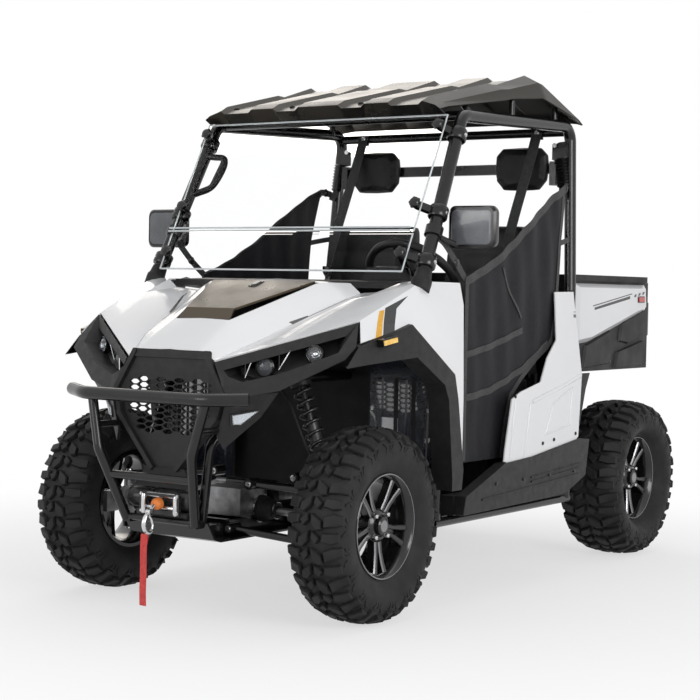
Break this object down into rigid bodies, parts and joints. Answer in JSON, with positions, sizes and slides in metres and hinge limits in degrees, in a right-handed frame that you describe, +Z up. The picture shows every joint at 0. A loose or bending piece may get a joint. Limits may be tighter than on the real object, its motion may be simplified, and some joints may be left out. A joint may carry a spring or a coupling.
{
  "type": "side by side utv",
  "caption": "Two-seat side by side utility vehicle with roll cage, roof, clear windshield, winch, knobby tyres and a tilting cargo bed with tailgate.",
  "frame": {"origin": "centre of the bounding box in plan, on the ground between the tyres", "axes": "+Z up, -Y towards the front bumper, +X towards the driver's left-hand side"},
  "size_m": [1.514, 2.7499, 1.878],
  "materials": {
    "frame_black": "satin powder coat",
    "roof_black": "satin black, faint grain",
    "white_panel": "gloss white",
    "textured_black": "fine grain",
    "lamp_glass": "clear lens",
    "tub_black": "fine grain",
    "seat_vinyl": "black vinyl",
    "clear_screen": "clear polycarbonate",
    "net_black": "black mesh",
    "belt_webbing": "woven webbing",
    "winch_metal": "satin black",
    "hook_steel": "plated",
    "strap_red": "red webbing",
    "shock_metal": "satin",
    "spring_black": "satin",
    "axle_metal": "cast and machined",
    "engine_metal": "cast",
    "muffler_metal": "heat tinted",
    "lid_black": "satin black",
    "bed_black": "fine grain",
    "lamp_red": "red lens",
    "tyre_rubber": "matte rubber",
    "rim_black": "gloss black"
  },
  "bodies": {
    "chassis": {"main_frame": "frame_black", "hitch_plate": "frame_black", "cage_sides": "frame_black", "cage_crossbars": "frame_black", "front_subframe": "frame_black", "rear_subframe": "frame_black", "roof": "roof_black", "hood": "white_panel", "front_fenders": "white_panel", "fascia": "textured_black", "grille": "textured_black", "headlamps": "lamp_glass", "fender_flares": "textured_black", "cab_tub": "tub_black", "rocker_panels": "textured_black", "rear_side_panels": "white_panel", "dashboard": "tub_black", "seats": "seat_vinyl", "headrests": "seat_vinyl", "windshield": "clear_screen", "windshield_clamps": "textured_black", "mirrors": "textured_black", "side_nets": "net_black", "seat_belts": "belt_webbing", "front_bumper": "frame_black", "winch": "winch_metal", "winch_hook": "hook_steel", "pull_strap": "strap_red", "suspension_arms": "frame_black", "shock_absorbers": "shock_metal", "shock_springs": "spring_black", "drive_axles": "axle_metal", "rear_knuckles": "axle_metal", "engine": "engine_metal", "muffler": "muffler_metal"},
    "hood_lid": {"hood_lid": "lid_black"},
    "steering_wheel": {"steering_wheel": "tub_black"},
    "steering_rack": {"steering_rack": "axle_metal"},
    "knuckle_left": {"knuckle_left": "axle_metal"},
    "knuckle_right": {"knuckle_right": "axle_metal"},
    "wheel_front_left": {"tyre_front_left": "tyre_rubber", "rim_front_left": "rim_black"},
    "wheel_front_right": {"tyre_front_right": "tyre_rubber", "rim_front_right": "rim_black"},
    "wheel_rear_left": {"tyre_rear_left": "tyre_rubber", "rim_rear_left": "rim_black"},
    "wheel_rear_right": {"tyre_rear_right": "tyre_rubber", "rim_rear_right": "rim_black"},
    "cargo_bed": {"cargo_bed": "bed_black", "bed_sides": "white_panel", "tail_lamps": "lamp_red"},
    "tailgate": {"tailgate": "bed_black"}
  },
  "joints": [
    {"name": "hood_lid_hinge", "type": "hinge", "parent": "chassis", "child": "hood_lid", "pos_m": [0, -1.04, 0.958], "axis": [1, 0, 0], "range_deg": [0, 60]},
    {"name": "steer_left", "type": "hinge", "parent": "chassis", "child": "knuckle_left", "pos_m": [0.47, -0.878, 0.3175], "axis": [0, 0, 1], "range_deg": [-26, 26]},
    {"name": "steer_right", "type": "hinge", "parent": "chassis", "child": "knuckle_right", "pos_m": [-0.47, -0.878, 0.3175], "axis": [0, 0, 1], "range_deg": [-26, 26]},
    {"name": "steering_wheel_turn", "type": "hinge", "parent": "chassis", "child": "steering_wheel", "pos_m": [0.29, -0.235, 1.105], "axis": [0, 0.7431, 0.6691], "range_deg": [-240, 240]},
    {"name": "rack_slide", "type": "slide", "parent": "chassis", "child": "steering_rack", "axis": [1, 0, 0], "range_m": [-0.045, 0.045]},
    {"name": "roll_front_left", "type": "hinge", "parent": "knuckle_left", "child": "wheel_front_left", "pos_m": [0.532, -0.878, 0.3175], "axis": [1, 0, 0], "continuous": true},
    {"name": "roll_front_right", "type": "hinge", "parent": "knuckle_right", "child": "wheel_front_right", "pos_m": [-0.532, -0.878, 0.3175], "axis": [1, 0, 0], "continuous": true},
    {"name": "roll_rear_left", "type": "hinge", "parent": "chassis", "child": "wheel_rear_left", "pos_m": [0.507, 1.0575, 0.3175], "axis": [1, 0, 0], "continuous": true},
    {"name": "roll_rear_right", "type": "hinge", "parent": "chassis", "child": "wheel_rear_right", "pos_m": [-0.507, 1.0575, 0.3175], "axis": [1, 0, 0], "continuous": true},
    {"name": "bed_tilt", "type": "hinge", "parent": "chassis", "child": "cargo_bed", "pos_m": [0, 1.18, 0.738], "axis": [-1, 0, 0], "range_deg": [0, 40]},
    {"name": "tailgate_fold", "type": "hinge", "parent": "cargo_bed", "child": "tailgate", "pos_m": [0, 1.232, 0.788], "axis": [-1, 0, 0], "range_deg": [0, 90]}
  ],
  "couplings": [
    {"joint": "steer_right", "follows": "steer_left", "ratio": 1},
    {"joint": "steering_wheel_turn", "follows": "steer_left", "ratio": 9},
    {"joint": "rack_slide", "follows": "steer_left", "m_per_rad": -0.096}
  ]
}
